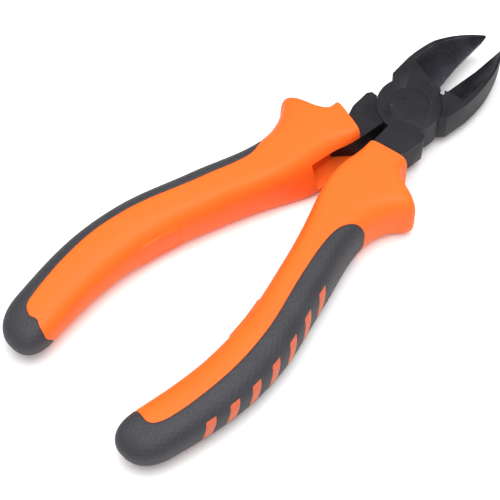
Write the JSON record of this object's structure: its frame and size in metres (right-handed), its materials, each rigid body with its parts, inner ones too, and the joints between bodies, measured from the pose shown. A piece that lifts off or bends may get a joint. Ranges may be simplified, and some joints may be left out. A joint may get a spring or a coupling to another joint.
{
  "type": "diagonal cutting pliers",
  "caption": "Diagonal cutting pliers: lap-jointed black steel levers on a flush rivet, hollow-ground jaws, and curved moulded grips with soft outer panels.",
  "frame": {"origin": "on the pivot's axis, at the head's back face", "axes": "+X from the pivot towards the jaws' tips, along the line that halves their opening; +Z along the pivot towards the front face, in which the jaws are hollow-ground; +Y towards the front lever's jaw"},
  "size_m": [0.1641, 0.068, 0.0176],
  "materials": {
    "black_steel": "black phosphated forged steel, oiled, dull",
    "orange_core": "satin moulded orange polypropylene",
    "grey_overmould": "matt dark grey soft elastomer with a fine moulded texture"
  },
  "bodies": {
    "rear_half": {"rear_lever": "black_steel", "pivot_rivet": "black_steel", "rear_grip_core": "orange_core", "rear_grip_overmould": "grey_overmould"},
    "front_half": {"front_lever": "black_steel", "front_grip_core": "orange_core", "front_grip_overmould": "grey_overmould"}
  },
  "joints": [
    {"name": "pivot", "type": "hinge", "parent": "rear_half", "child": "front_half", "pos_m": [0, 0, 0.0048], "axis": [0, 0, 1], "range_deg": [-9.2, 38]}
  ]
}
